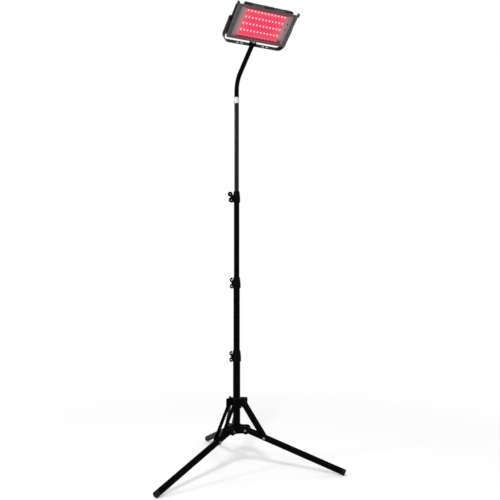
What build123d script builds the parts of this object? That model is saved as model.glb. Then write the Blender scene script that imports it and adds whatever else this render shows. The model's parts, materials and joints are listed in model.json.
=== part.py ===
from build123d import *
import os
from math import cos, radians, sin, sqrt, tan

os.makedirs("parts", exist_ok=True)

# Infrared heat therapy lamp on a folding tripod with a telescopic column.
# Millimetres, +Z up. The floor is z = 0 and the origin is the middle of the footprint.

# ---- Clearances ----
running_gap = 0.06  # radial, a shaft or a sliding tube in its hole
face_gap = 0.3  # between faces that move past each other

# ---- Tripod ----
leg_count = 3
leg_slope = 20.9  # degrees below level, legs spread
leg_length = 361.0  # hinge bolt to end of foot
leg_tube_r = 10.7
leg_tube_wall = 1.5
leg_tail = 9.0  # tube beyond the hinge bolt, towards the column
leg_hinge_radius = 33.0  # hinge bolt from the column's axis
foot_length = 13.0  # visible rubber
foot_plug_length = 16.0  # rubber inside the tube
sole_cut = 1.0  # how much of the foot's lower edge is worn flat
hinge_bolt_r = 3.0
hinge_bolt_head = 7.0  # across flats
hinge_head_height = 3.6
leg_plug_length = 22.0

# ---- Lower hub ----
hub_wall = 4.5
hub_above = 17.0  # sleeve above the hinge bolts
hub_below = 12.0
hub_ear_r = 14.0
hub_ear_thickness = 4.2

# ---- Struts and sliding collar ----
strut_pin_on_leg = 68.4  # from the hinge bolt along the leg
collar_pin_radius = 21.0
collar_pin_rise = 97.2  # above the hinge bolts, legs spread
strap_width = 15.5
strap_thickness = 1.5
collar_wall = 2.5
collar_below = 25.0  # sleeve below its rivets
collar_above = 11.0
collar_ear_root = 6.0  # inner edge of the ears, from the column's axis
collar_ear_out = 14.0  # outer edge beyond the rivet
collar_ear_up = 10.5
collar_ear_down = 16.0
collar_ear_corner = 3.0
collar_ear_thickness = 4.0
rivet_r = 2.5
rivet_head_r = 4.2
rivet_head_height = 1.6
strut_rivet_r = 3.0
strut_rivet_head_r = 4.6
strut_rivet_head_height = 1.8
leg_pin_r = 3.0
bush_wall = 1.5
collar_boss_r = 5.2
collar_boss_reach = 27.0

# ---- Column tubes ----
bottom_tube_r = 12.5
second_tube_r = 11.0
third_tube_r = 9.5
top_tube_r = 8.0
tube_wall = 1.0
bottom_tube_length = 257.0
second_tube_length = 298.0
third_tube_length = 334.0
top_tube_length = 365.0
second_overlap = 46.0  # tube inside the tube below, fully drawn out
third_overlap = 39.0
top_overlap = 38.0
guide_ring_height = 12.0
guide_ring_lip = 2.0
base_plug_height = 5.0

# ---- Clamps and wing knobs ----
clamp_height = 40.0
clamp_seat = 15.0  # outer tube inside the clamp
clamp_lip = 0.7  # wall at the clamp's lower edge
clamp_foot_wall = 2.9
clamp_foot_rise = 4.5  # from the lower edge to the widest place
clamp_shoulder_wall = 2.5
clamp_shoulder_drop = 5.0  # from the shoulder to the upper edge
clamp_top_wall = 1.4
clamp_boss_r = 6.5
clamp_boss_reach = 0.8  # beyond the clamp's widest radius
clamp_screw_rise = 19.2  # above the clamp's lower edge
clamp_rib_width = 3.4
knob_azimuth = -150.0
screw_r = 3.0
wing_hub_r = 6.0
wing_hub_length = 3.0
wing_ear_r = 8.4
wing_ear_offset = 10.7
wing_ear_reach = 1.2  # ear's middle beyond the hub's seat
wing_thickness = 3.4
wing_hole_r = 2.0
upper_wing_factor = 1.08
upper_hub_length = 8.0
upper_ear_reach = 7.5
upper_wing_turn = 25.0
collar_wing_factor = 0.65

# ---- Ferrule and gooseneck ----
ferrule_height = 21.0
ferrule_r = 8.6
ferrule_spigot = 16.0
neck_r = 8.0
neck_azimuth = -48.2  # degrees, the way the neck leans
neck_upright = 20.5  # straight part above the ferrule
neck_bend = 46.3  # degrees
neck_bend_radius = 81.5
neck_straight = 106.9
bend_links = 3
knuckle_gap_height = 4.0  # bare knuckle between two links
knuckle_extra = 0.4  # knuckle's radius beyond the hose's
upper_link_length = 30.0
neck_stud_r = 5.0
neck_stud_length = 12.0
swivel_bolt_r = 4.0
swivel_bolt_depth = 14.0
swivel_nut_r = 12.0
swivel_nut_height = 8.0
swivel_head_r = 6.5
swivel_head_height = 3.0

# ---- Yoke ----
yoke_rise = 78.2  # underside of the base up to the tilt screws
yoke_strip_width = 18.0
yoke_thickness = 2.0
yoke_side_gap = 3.5  # between the head's sides and the arms
yoke_corner_r = 24.0
yoke_arm_above = 9.0
yoke_slot_length = 12.0
yoke_slot_width = 8.0
yoke_slot_inner = 41.0
yoke_slot_outer = 57.0
tilt_screw_r = 3.0
tilt_head_r = 6.5
tilt_head_height = 2.0

# ---- Lamp head ----
head_width = 222.0
head_height = 116.5
head_depth = 26.0
front_ahead = 15.0  # front face ahead of the tilt screws
bezel_lip_side = 12.0
bezel_lip_top = 7.0
bezel_thickness = 2.0
bezel_skirt = 5.0
bezel_wall = 1.6
bezel_ear_width = 6.0
bezel_ear_height = 6.0
bezel_ear_out = 5.0  # reach beyond the head's sides
bezel_ear_depth = 9.0
bezel_ear_back = 1.5  # its front behind the bezel's
housing_wall = 1.6
housing_fall = 0.5  # how steeply the top and bottom draw in behind the bezel
housing_fall_start = 5.5  # behind the front
board_width = 151.0
board_height = 95.5
board_drop = 3.1  # board's middle below the head's
board_thickness = 1.6
standoff_r = 4.0
standoff_inset = 11.0
board_depth = 6.8  # board's face behind the front
reflector_sheet = 0.8
led_columns = 12
led_rows = 5
led_pitch_x = 12.6
led_pitch_y = 22.4
led_base = 5.0
led_height = 3.4
infrared_height = 2.2
crown_front_width = 188.0  # raised vent block on the top
crown_back_width = 177.0
crown_depth = 11.0
crown_rise = 1.6
crown_slot_rows = 3
crown_slot_pitch = 3.4
crown_slot_width = 1.8
crown_slot_length = 41.0
crown_slot_spread = 80.0  # between the middles of the two groups
side_vent_count = 5
side_vent_pitch = 7.0
side_vent_width = 2.4
side_vent_length = 13.0
back_vent_count = 7
back_vent_pitch = 6.0
back_vent_width = 2.4
back_vent_length = 34.0
driver_width = 100.0
driver_height = 62.0
driver_depth = 24.0
driver_corner_r = 5.0
gland_side = -26.0
gland_thread_r = 6.0
gland_thread_length = 9.0
gland_nut_r = 8.6
gland_nut_height = 5.0
gland_cap_height = 7.0
gland_bore_r = 3.2
rocker_side = 24.0
rocker_width = 9.0
rocker_r = 6.5
rocker_sink = 2.6
rocker_lean = 8.0  # degrees each way

# ---- Derived places along the column ----
leg_inner_r = leg_tube_r - leg_tube_wall
leg_pivot_z = leg_length * sin(radians(leg_slope)) + leg_tube_r * cos(radians(leg_slope)) - sole_cut
leg_end_radius = leg_hinge_radius + leg_length * cos(radians(leg_slope))
footprint_front = leg_end_radius + leg_tube_r * sin(radians(leg_slope))
footprint_back = 0.5 * leg_end_radius + leg_tube_r * sqrt(1 - 0.25 * cos(radians(leg_slope)) ** 2)
column_x = (footprint_back - footprint_front) / 2
hub_bottom = leg_pivot_z - hub_below
hub_top = leg_pivot_z + hub_above
collar_pin_z = leg_pivot_z + collar_pin_rise
strut_pin_radius = leg_hinge_radius + strut_pin_on_leg * cos(radians(leg_slope))
strut_pin_z = leg_pivot_z - strut_pin_on_leg * sin(radians(leg_slope))
bottom_tube_z = hub_bottom + 1.0
lower_clamp_z = bottom_tube_z + bottom_tube_length - clamp_seat
second_tube_z = bottom_tube_z + bottom_tube_length - second_overlap
middle_clamp_z = second_tube_z + second_tube_length - clamp_seat
third_tube_z = second_tube_z + second_tube_length - third_overlap
upper_clamp_z = third_tube_z + third_tube_length - clamp_seat
top_tube_z = third_tube_z + third_tube_length - top_overlap
ferrule_z = top_tube_z + top_tube_length
neck_z = ferrule_z + ferrule_height

# ---- Planes ----
column_axis = Axis((column_x, 0, 0), (0, 0, 1))
column_side = Plane(origin=(column_x, 0, 0), x_dir=(1, 0, 0), z_dir=(0, -1, 0))


def level(height):
    """Level plane centred on the column."""
    return Plane(origin=(column_x, 0, height), x_dir=(1, 0, 0), z_dir=(0, 0, 1))


def upright(azimuth):
    """Vertical plane through the column: local x points outward, local y up."""
    turn = radians(azimuth)
    return Plane(origin=(column_x, 0, 0), x_dir=(cos(turn), sin(turn), 0), z_dir=(sin(turn), -cos(turn), 0))


def outward(azimuth, radius, height):
    """Vertical plane facing outward from the column."""
    turn = radians(azimuth)
    centre = (column_x + radius * cos(turn), radius * sin(turn), height)
    return Plane(origin=centre, x_dir=(-sin(turn), cos(turn), 0), z_dir=(cos(turn), sin(turn), 0))


def along(plane, start, angle):
    """Plane across a direction that lies in the given plane, at a start point in it."""
    origin = plane.from_local_coords(Vector(start[0], start[1], 0))
    direction = plane.x_dir * cos(radians(angle)) + plane.y_dir * sin(radians(angle))
    return Plane(origin=origin, x_dir=plane.z_dir, z_dir=direction)


def keep(piece, name):
    """Label a finished piece and write it."""
    piece.label = name
    export_step(piece, f"parts/{name}.step")


# ======== Lower hub ========
hub_r = bottom_tube_r + hub_wall
ear_inner = leg_tube_r + face_gap + 0.1
with BuildPart() as lower_hub:
    with BuildSketch(level(hub_bottom)):
        Circle(hub_r)
    extrude(amount=hub_below + hub_above)
    chamfer(lower_hub.edges().filter_by(GeomType.CIRCLE).group_by(Axis.Z)[-1], 1.5)
    for index in range(leg_count):
        leg_plane = upright(360 / leg_count * index)
        for lateral in (ear_inner, -ear_inner - hub_ear_thickness):
            with BuildSketch(leg_plane.offset(lateral)):
                with BuildLine():
                    Line((0, hub_bottom), (0, hub_top - 4))
                    Line((0, hub_top - 4), (leg_hinge_radius, leg_pivot_z + hub_ear_r))
                    ThreePointArc(
                        (leg_hinge_radius, leg_pivot_z + hub_ear_r),
                        (leg_hinge_radius + hub_ear_r, leg_pivot_z),
                        (leg_hinge_radius, leg_pivot_z - hub_ear_r),
                    )
                    ThreePointArc(
                        (leg_hinge_radius, leg_pivot_z - hub_ear_r),
                        (0.5 * (leg_hinge_radius + hub_r), leg_pivot_z - 0.8 * hub_ear_r),
                        (hub_r - 2, hub_bottom),
                    )
                    Line((hub_r - 2, hub_bottom), (0, hub_bottom))
                make_face()
            extrude(amount=hub_ear_thickness)
        with BuildSketch(leg_plane.offset(-hub_r)):
            with Locations((leg_hinge_radius, leg_pivot_z)):
                Circle(hinge_bolt_r)
        extrude(amount=2 * hub_r, mode=Mode.SUBTRACT)
    with BuildSketch(level(hub_bottom)):
        Circle(bottom_tube_r)
    extrude(amount=hub_below + hub_above, mode=Mode.SUBTRACT)
keep(lower_hub.part, "lower_hub")

# ======== Hinge bolts, one through each pair of hub ears, with a nut ========
bolt_reach = ear_inner + hub_ear_thickness
with BuildPart() as hinge_bolts:
    for index in range(leg_count):
        leg_plane = upright(360 / leg_count * index)
        with BuildSketch(leg_plane.offset(-bolt_reach)):
            with Locations((leg_hinge_radius, leg_pivot_z)):
                Circle(hinge_bolt_r)
        extrude(amount=2 * bolt_reach)
        for lateral in (-bolt_reach - hinge_head_height, bolt_reach):
            with BuildSketch(leg_plane.offset(lateral)):
                with Locations((leg_hinge_radius, leg_pivot_z)):
                    RegularPolygon(hinge_bolt_head / 2, 6, major_radius=False)
            extrude(amount=hinge_head_height)
keep(hinge_bolts.part, "hinge_bolts")

# ======== Legs ========
for index in range(leg_count):
    leg_plane = upright(360 / leg_count * index)
    hinge_point = (leg_hinge_radius, leg_pivot_z)
    tube_start = along(leg_plane, hinge_point, -leg_slope).offset(-leg_tail)
    tube_end = along(leg_plane, hinge_point, -leg_slope).offset(leg_length - foot_length)

    with BuildPart() as leg_tube:
        with BuildSketch(tube_start):
            Circle(leg_tube_r)
            Circle(leg_inner_r, mode=Mode.SUBTRACT)
        extrude(amount=leg_tail + leg_length - foot_length)
        with BuildSketch(leg_plane.offset(-leg_tube_r)):
            with Locations(hinge_point):
                Circle(hinge_bolt_r + running_gap)
            with Locations((strut_pin_radius, strut_pin_z)):
                Circle(leg_pin_r)
        extrude(amount=2 * leg_tube_r, mode=Mode.SUBTRACT)
    keep(leg_tube.part, f"leg_tube_{index + 1}")

    with BuildPart() as leg_plug:
        with BuildSketch(tube_start):
            Circle(leg_inner_r)
        extrude(amount=leg_plug_length)
        with BuildSketch(leg_plane.offset(-leg_tube_r)):
            with Locations(hinge_point):
                Circle(hinge_bolt_r + running_gap)
        extrude(amount=2 * leg_tube_r, mode=Mode.SUBTRACT)
    keep(leg_plug.part, f"leg_plug_{index + 1}")

    with BuildPart() as leg_pin:
        with BuildSketch(leg_plane.offset(-leg_tube_r + face_gap)):
            with Locations((strut_pin_radius, strut_pin_z)):
                Circle(leg_pin_r)
        extrude(amount=2 * (leg_tube_r - face_gap))
    keep(leg_pin.part, f"leg_pin_{index + 1}")

    with BuildPart() as leg_foot:
        with BuildSketch(tube_end.offset(-foot_plug_length)):
            Circle(leg_inner_r)
        extrude(amount=foot_plug_length)
        with BuildSketch(tube_end):
            Circle(leg_tube_r)
        extrude(amount=foot_length)
        chamfer(leg_foot.edges().filter_by(GeomType.CIRCLE).sort_by(Axis(tube_end.origin, tube_end.z_dir))[-1], 0.8)
        with BuildSketch(Plane.XY.offset(-leg_tube_r)):
            with Locations(leg_plane.from_local_coords(Vector(leg_end_radius, 0, 0))):
                Circle(4 * leg_tube_r)
        extrude(amount=leg_tube_r, mode=Mode.SUBTRACT)
    keep(leg_foot.part, f"leg_foot_{index + 1}")

# ======== Struts: two flat straps beside each leg, with a rivet at the leg ========
strap_inner = leg_tube_r + face_gap + 0.1
collar_ear_inner = strap_inner + strap_thickness + face_gap
strut_run = strut_pin_radius - collar_pin_radius
strut_drop = collar_pin_z - strut_pin_z
strut_length = sqrt(strut_run**2 + strut_drop**2)
strut_lean = Vector(strut_run, -strut_drop, 0).get_signed_angle(Vector(1, 0, 0), Vector(0, 0, -1))
for index in range(leg_count):
    leg_plane = upright(360 / leg_count * index)
    middle = ((strut_pin_radius + collar_pin_radius) / 2, (strut_pin_z + collar_pin_z) / 2)

    with BuildPart() as strut_straps:
        for lateral in (strap_inner, -strap_inner - strap_thickness):
            with BuildSketch(leg_plane.offset(lateral)):
                with Locations(middle):
                    SlotCenterToCenter(strut_length, strap_width, rotation=strut_lean)
                with Locations((strut_pin_radius, strut_pin_z)):
                    Circle(strut_rivet_r, mode=Mode.SUBTRACT)
                with Locations((collar_pin_radius, collar_pin_z)):
                    Circle(rivet_r + running_gap, mode=Mode.SUBTRACT)
            extrude(amount=strap_thickness)
    keep(strut_straps.part, f"strut_straps_{index + 1}")

    strap_outer = strap_inner + strap_thickness
    with BuildPart() as strut_rivets:
        for side in (1, -1):
            shank_start = strap_inner if side > 0 else -strap_outer
            head_start = strap_outer if side > 0 else -strap_outer - strut_rivet_head_height
            with BuildSketch(leg_plane.offset(shank_start)):
                with Locations((strut_pin_radius, strut_pin_z)):
                    Circle(strut_rivet_r)
            extrude(amount=strap_thickness)
            with BuildSketch(leg_plane.offset(head_start)):
                with Locations((strut_pin_radius, strut_pin_z)):
                    Circle(strut_rivet_head_r)
            extrude(amount=strut_rivet_head_height)
    keep(strut_rivets.part, f"strut_rivets_{index + 1}")

# ======== Sliding collar ========
collar_bottom = collar_pin_z - collar_below
collar_height = collar_below + collar_above
bush_r = bottom_tube_r + running_gap + bush_wall
collar_r = bush_r + collar_wall
collar_knob_azimuth = 180 / leg_count
collar_screw_z = collar_bottom + 0.4 * collar_below
with BuildPart() as sliding_collar:
    with BuildSketch(level(collar_bottom)):
        Circle(collar_r)
    extrude(amount=collar_height)
    chamfer(sliding_collar.edges().filter_by(GeomType.CIRCLE), 1.0)
    for index in range(leg_count):
        leg_plane = upright(360 / leg_count * index)
        for lateral in (collar_ear_inner, -collar_ear_inner - collar_ear_thickness):
            with BuildSketch(leg_plane.offset(lateral)):
                with BuildLine():
                    FilletPolyline(
                        (collar_ear_root, collar_pin_z + collar_ear_up),
                        (collar_pin_radius + collar_ear_out, collar_pin_z + collar_ear_up),
                        (collar_pin_radius + collar_ear_out, collar_pin_z - collar_ear_down),
                        (collar_ear_root, collar_pin_z - collar_ear_down),
                        radius=collar_ear_corner,
                    )
                    Line(
                        (collar_ear_root, collar_pin_z - collar_ear_down),
                        (collar_ear_root, collar_pin_z + collar_ear_up),
                    )
                make_face()
            extrude(amount=collar_ear_thickness)
        with BuildSketch(leg_plane.offset(-collar_r - 4)):
            with Locations((collar_pin_radius, collar_pin_z)):
                Circle(rivet_r)
        extrude(amount=2 * (collar_r + 4), mode=Mode.SUBTRACT)
    with BuildSketch(outward(collar_knob_azimuth, 0, collar_screw_z)):
        Circle(collar_boss_r)
    extrude(amount=collar_boss_reach)
    with BuildSketch(outward(collar_knob_azimuth, 0, collar_screw_z)):
        Circle(screw_r + running_gap)
    extrude(amount=collar_boss_reach, mode=Mode.SUBTRACT)
    with BuildSketch(level(collar_bottom)):
        Circle(bush_r)
    extrude(amount=collar_height, mode=Mode.SUBTRACT)
keep(sliding_collar.part, "sliding_collar")

with BuildPart() as collar_bush:
    with BuildSketch(level(collar_bottom)):
        Circle(bush_r)
        Circle(bottom_tube_r + running_gap, mode=Mode.SUBTRACT)
    extrude(amount=collar_height)
    with BuildSketch(outward(collar_knob_azimuth, 0, collar_screw_z)):
        Circle(screw_r + running_gap)
    extrude(amount=collar_boss_reach, mode=Mode.SUBTRACT)
keep(collar_bush.part, "collar_bush")

with BuildPart() as collar_rivets:
    for index in range(leg_count):
        leg_plane = upright(360 / leg_count * index)
        ear_outer = collar_ear_inner + collar_ear_thickness
        for side in (1, -1):
            shank_start = strap_inner if side > 0 else -ear_outer
            head_start = ear_outer if side > 0 else -ear_outer - rivet_head_height
            with BuildSketch(leg_plane.offset(shank_start)):
                with Locations((collar_pin_radius, collar_pin_z)):
                    Circle(rivet_r)
            extrude(amount=ear_outer - strap_inner)
            with BuildSketch(leg_plane.offset(head_start)):
                with Locations((collar_pin_radius, collar_pin_z)):
                    Circle(rivet_head_r)
            extrude(amount=rivet_head_height)
keep(collar_rivets.part, "collar_rivets")


def wing_knob(azimuth, height, tip_radius, seat_radius, factor, ear_reach, hub_length, turn):
    """Wing screw whose axis points outward from the column. Its ears stop short of its seat."""
    hub_start = seat_radius + face_gap
    ear_r = wing_ear_r * factor
    offset = wing_ear_offset * factor
    with BuildPart() as knob:
        with BuildSketch(outward(azimuth, tip_radius, height)):
            Circle(screw_r)
        extrude(amount=hub_start - tip_radius + 1)
        with BuildSketch(outward(azimuth, hub_start, height)):
            Circle(wing_hub_r * factor)
        extrude(amount=hub_length)
        hub_rim = knob.edges().filter_by(GeomType.CIRCLE).sort_by(Axis((column_x, 0, 0), outward(azimuth, 0, 0).z_dir))[-1]
        fillet(hub_rim, 1.2)
        facing = outward(azimuth, 0, height)
        blade_normal = facing.x_dir * -cos(radians(turn)) - facing.y_dir * sin(radians(turn))
        blade_plane = Plane(origin=facing.origin, x_dir=facing.z_dir, z_dir=blade_normal)
        with BuildSketch(blade_plane.offset(-wing_thickness * factor / 2)):
            for side in (1, -1):
                with Locations((hub_start + ear_reach, side * offset)):
                    Circle(ear_r)
                with BuildLine():
                    Polyline(
                        (hub_start, 0),
                        (hub_start + hub_length, 0),
                        (hub_start + ear_reach + 0.5 * ear_r, side * offset),
                        (hub_start, side * offset),
                        close=True,
                    )
                make_face()
            with Locations((hub_start - ear_r, 0)):
                Rectangle(2 * ear_r, 4 * offset, mode=Mode.SUBTRACT)
            for side in (1, -1):
                with Locations((hub_start + max(ear_reach, 0.4 * ear_r), side * offset)):
                    Circle(wing_hole_r * factor, mode=Mode.SUBTRACT)
        extrude(amount=wing_thickness * factor)
    return knob.part


keep(
    wing_knob(
        collar_knob_azimuth,
        collar_screw_z,
        bottom_tube_r + face_gap,
        collar_boss_reach,
        collar_wing_factor,
        collar_wing_factor * wing_ear_reach,
        wing_hub_length,
        0,
    ),
    "collar_knob",
)


# ======== Column tubes ========
def column_tube(radius, bottom, length):
    """Open tube around the column's axis."""
    with BuildPart() as tube:
        with BuildSketch(level(bottom)):
            Circle(radius)
            Circle(radius - tube_wall, mode=Mode.SUBTRACT)
        extrude(amount=length)
    return tube.part


def guide_ring(radius, bore_r, bottom):
    """Plastic ring on a tube's lower end, guiding it in the tube around it."""
    with BuildPart() as ring:
        with BuildSketch(level(bottom - guide_ring_lip)):
            Circle(bore_r - running_gap)
            Circle(radius - tube_wall, mode=Mode.SUBTRACT)
        extrude(amount=guide_ring_lip)
        with BuildSketch(level(bottom)):
            Circle(bore_r - running_gap)
            Circle(radius, mode=Mode.SUBTRACT)
        extrude(amount=guide_ring_height)
    return ring.part


keep(column_tube(bottom_tube_r, bottom_tube_z, bottom_tube_length), "bottom_tube")
keep(column_tube(second_tube_r, second_tube_z, second_tube_length), "second_tube")
keep(column_tube(third_tube_r, third_tube_z, third_tube_length), "third_tube")
keep(column_tube(top_tube_r, top_tube_z, top_tube_length), "top_tube")
keep(guide_ring(second_tube_r, bottom_tube_r - tube_wall, second_tube_z), "second_guide_ring")
keep(guide_ring(third_tube_r, second_tube_r - tube_wall, third_tube_z), "third_guide_ring")
keep(guide_ring(top_tube_r, third_tube_r - tube_wall, top_tube_z), "top_guide_ring")

with BuildPart() as base_plug:
    with BuildSketch(level(bottom_tube_z - 1.5)):
        Circle(bottom_tube_r)
    extrude(amount=1.5)
    with BuildSketch(level(bottom_tube_z)):
        Circle(bottom_tube_r - tube_wall)
    extrude(amount=base_plug_height - 1.5)
keep(base_plug.part, "base_plug")


# ======== Column clamps ========
def column_clamp(outer_r, inner_r, bottom):
    """Tapered sleeve on the outer tube's upper end, with a boss for its wing screw."""
    foot_r = outer_r + clamp_foot_wall
    shoulder_r = inner_r + clamp_shoulder_wall
    shoulder_z = bottom + clamp_height - clamp_shoulder_drop
    boss_reach = foot_r + clamp_boss_reach
    screw_z = bottom + clamp_screw_rise
    with BuildPart() as clamp:
        with BuildSketch(column_side):
            with BuildLine():
                Polyline(
                    (0, bottom),
                    (outer_r + clamp_lip, bottom),
                    (foot_r - 0.4, bottom + clamp_foot_rise - 1.5),
                    (foot_r, bottom + clamp_foot_rise),
                    (foot_r, 0.5 * (bottom + clamp_foot_rise + shoulder_z) - 4),
                    (shoulder_r, shoulder_z),
                    (inner_r + clamp_top_wall, bottom + clamp_height),
                    (0, bottom + clamp_height),
                    close=True,
                )
            make_face()
        revolve(axis=column_axis)
        with BuildSketch(outward(knob_azimuth, 0, screw_z)):
            Circle(clamp_boss_r)
        extrude(amount=boss_reach)
        with BuildSketch(upright(knob_azimuth).offset(-clamp_rib_width / 2)):
            for side in (1, -1):
                rib_foot = screw_z + side * clamp_boss_r
                rib_end = bottom + clamp_height - 2 if side > 0 else bottom + 2
                with BuildLine():
                    Polyline(
                        (0, screw_z),
                        (boss_reach - 0.4, screw_z),
                        (boss_reach - 0.4, rib_foot),
                        (inner_r + 1, rib_end),
                        (0, rib_end),
                        close=True,
                    )
                make_face()
        extrude(amount=clamp_rib_width)
        with BuildSketch(outward(knob_azimuth, 0, screw_z)):
            Circle(screw_r + running_gap)
        extrude(amount=boss_reach, mode=Mode.SUBTRACT)
        with BuildSketch(level(bottom)):
            Circle(outer_r)
        extrude(amount=clamp_seat, mode=Mode.SUBTRACT)
        with BuildSketch(level(bottom + clamp_seat)):
            Circle(inner_r + running_gap)
        extrude(amount=clamp_height - clamp_seat, mode=Mode.SUBTRACT)
    return clamp.part


def clamp_knob(outer_r, inner_r, bottom, factor, ear_reach, hub_length, turn):
    """Wing screw in a clamp's boss, its tip just clear of the sliding tube."""
    seat = outer_r + clamp_foot_wall + clamp_boss_reach
    screw_z = bottom + clamp_screw_rise
    return wing_knob(knob_azimuth, screw_z, inner_r + face_gap, seat, factor, ear_reach, hub_length, turn)


keep(column_clamp(bottom_tube_r, second_tube_r, lower_clamp_z), "lower_clamp")
keep(column_clamp(second_tube_r, third_tube_r, middle_clamp_z), "middle_clamp")
keep(column_clamp(third_tube_r, top_tube_r, upper_clamp_z), "upper_clamp")
keep(
    clamp_knob(bottom_tube_r, second_tube_r, lower_clamp_z, 1.0, wing_ear_reach, wing_hub_length, 0),
    "lower_clamp_knob",
)
keep(
    clamp_knob(second_tube_r, third_tube_r, middle_clamp_z, 1.0, wing_ear_reach, wing_hub_length, 0),
    "middle_clamp_knob",
)
keep(
    clamp_knob(
        third_tube_r, top_tube_r, upper_clamp_z, upper_wing_factor, upper_ear_reach, upper_hub_length, upper_wing_turn
    ),
    "upper_clamp_knob",
)

# ======== Ferrule ========
with BuildPart() as neck_ferrule:
    with BuildSketch(level(ferrule_z)):
        Circle(ferrule_r)
    extrude(amount=ferrule_height)
    chamfer(neck_ferrule.edges().filter_by(GeomType.CIRCLE), 0.8)
    with BuildSketch(level(ferrule_z - ferrule_spigot)):
        Circle(top_tube_r - tube_wall)
    extrude(amount=ferrule_spigot)
    with BuildSketch(level(ferrule_z - ferrule_spigot)):
        Circle(neck_stud_r + running_gap)
    extrude(amount=ferrule_spigot + ferrule_height, mode=Mode.SUBTRACT)
keep(neck_ferrule.part, "neck_ferrule")

# ======== Gooseneck: links that knuckle in the plane in which the neck leans ========
neck_plane = upright(neck_azimuth)
link_turn = neck_bend / bend_links
knuckle_r = neck_r + knuckle_extra
knuckle_cut_side = knuckle_r + 2.0
half_turn_run = neck_bend_radius * tan(radians(link_turn / 2))
neck_hinges = [(0, neck_z + neck_upright + half_turn_run)]
neck_angles = [90 - link_turn]
for index in range(1, bend_links):
    last_x, last_z = neck_hinges[-1]
    angle = radians(neck_angles[-1])
    neck_hinges.append((last_x + 2 * half_turn_run * cos(angle), last_z + 2 * half_turn_run * sin(angle)))
    neck_angles.append(neck_angles[-1] - link_turn)
lean_angle = 90 - neck_bend
bend_end = neck_hinges[-1]


def up_the_neck(distance):
    """Point at a distance along the straight part, counted from the last bend hinge."""
    turn = radians(lean_angle)
    return (bend_end[0] + distance * cos(turn), bend_end[1] + distance * sin(turn))


for index in range(1, bend_links + 1):
    neck_hinges.append(up_the_neck(index * upper_link_length))
    neck_angles.append(lean_angle)
neck_end_run = half_turn_run + neck_straight
neck_end = up_the_neck(neck_end_run)


def neck_link(number, length, last):
    """Link from one hinge to the next, rounded below and hollowed above."""
    hinge = neck_hinges[number]
    angle = neck_angles[number]
    across = along(neck_plane, hinge, angle)
    middle = Vector(length / 2, 0, 0).rotate(Axis.Z, angle)
    with BuildPart() as link:
        with BuildSketch(across.offset(-knuckle_r)):
            Circle(neck_r)
        extrude(amount=knuckle_r + length)
        with BuildSketch(neck_plane.offset(-knuckle_cut_side)):
            with Locations(hinge):
                Circle(knuckle_r)
                with Locations(middle):
                    Rectangle(length, 2 * knuckle_cut_side, rotation=angle)
        extrude(amount=2 * knuckle_cut_side, mode=Mode.INTERSECT)
        if not last:
            with BuildSketch(neck_plane.offset(-knuckle_cut_side)):
                with Locations(neck_hinges[number + 1]):
                    Circle(knuckle_r + face_gap)
            extrude(amount=2 * knuckle_cut_side, mode=Mode.SUBTRACT)
    return link.part


with BuildPart() as neck_base:
    with BuildSketch(level(neck_z + face_gap)):
        Circle(neck_r)
    extrude(amount=neck_hinges[0][1] - knuckle_gap_height - neck_z - face_gap)
    with BuildSketch(neck_plane.offset(-knuckle_cut_side)):
        with Locations(neck_hinges[0]):
            Circle(knuckle_r + face_gap)
    extrude(amount=2 * knuckle_cut_side, mode=Mode.SUBTRACT)
    with BuildSketch(level(neck_z + face_gap - neck_stud_length)):
        Circle(neck_stud_r)
    extrude(amount=neck_stud_length)
keep(neck_base.part, "neck_base")
for number in range(bend_links - 1):
    keep(neck_link(number, 2 * half_turn_run - knuckle_gap_height, False), f"neck_link_{number + 1}")
for number in range(bend_links - 1, 2 * bend_links - 1):
    keep(neck_link(number, upper_link_length - knuckle_gap_height, False), f"neck_link_{number + 1}")

tip_length = neck_end_run - bend_links * upper_link_length
neck_end_plane = along(neck_plane, neck_end, lean_angle)
with BuildPart() as neck_tip:
    add(neck_link(2 * bend_links - 1, tip_length, True))
    with BuildSketch(neck_end_plane.offset(-swivel_bolt_depth)):
        Circle(swivel_bolt_r)
    extrude(amount=swivel_bolt_depth, mode=Mode.SUBTRACT)
keep(neck_tip.part, "neck_tip")

# ======== Swivel bolt and cap nut that hold the yoke on the neck ========
nut_start = yoke_thickness + 2 * face_gap
nut_end = nut_start + swivel_nut_height
with BuildPart() as swivel_nut:
    with BuildSketch(neck_end_plane.offset(nut_start)):
        RegularPolygon(swivel_nut_r, 12)
    extrude(amount=swivel_nut_height)
    with BuildSketch(neck_end_plane.offset(nut_start)):
        Circle(swivel_bolt_r)
    extrude(amount=swivel_nut_height, mode=Mode.SUBTRACT)
keep(swivel_nut.part, "swivel_nut")

with BuildPart() as swivel_bolt:
    with BuildSketch(neck_end_plane.offset(-swivel_bolt_depth)):
        Circle(swivel_bolt_r)
    extrude(amount=swivel_bolt_depth + nut_end)
    with BuildSketch(neck_end_plane.offset(nut_end)):
        RegularPolygon(swivel_head_r, 6)
    extrude(amount=swivel_head_height)
keep(swivel_bolt.part, "swivel_bolt")

# ======== Head frame: local x along the tilt axis, y up the head, z out of the lamp ========
across_neck = neck_plane.z_dir * -1
up_head = neck_end_plane.z_dir
tilt_centre = neck_end_plane.origin + up_head * (yoke_rise + face_gap)
head_plane = Plane(origin=tilt_centre, x_dir=across_neck, z_dir=across_neck.cross(up_head))


def head_side(shift):
    """Plane across the tilt axis: local x towards the back, local y up the head."""
    origin = head_plane.from_local_coords(Vector(shift, 0, 0))
    return Plane(origin=origin, x_dir=head_plane.z_dir * -1, z_dir=head_plane.x_dir)


def head_floor(drop):
    """Plane across the head's upright direction: local x along the tilt axis."""
    origin = head_plane.from_local_coords(Vector(0, drop, 0))
    return Plane(origin=origin, x_dir=head_plane.x_dir, z_dir=head_plane.y_dir)


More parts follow.
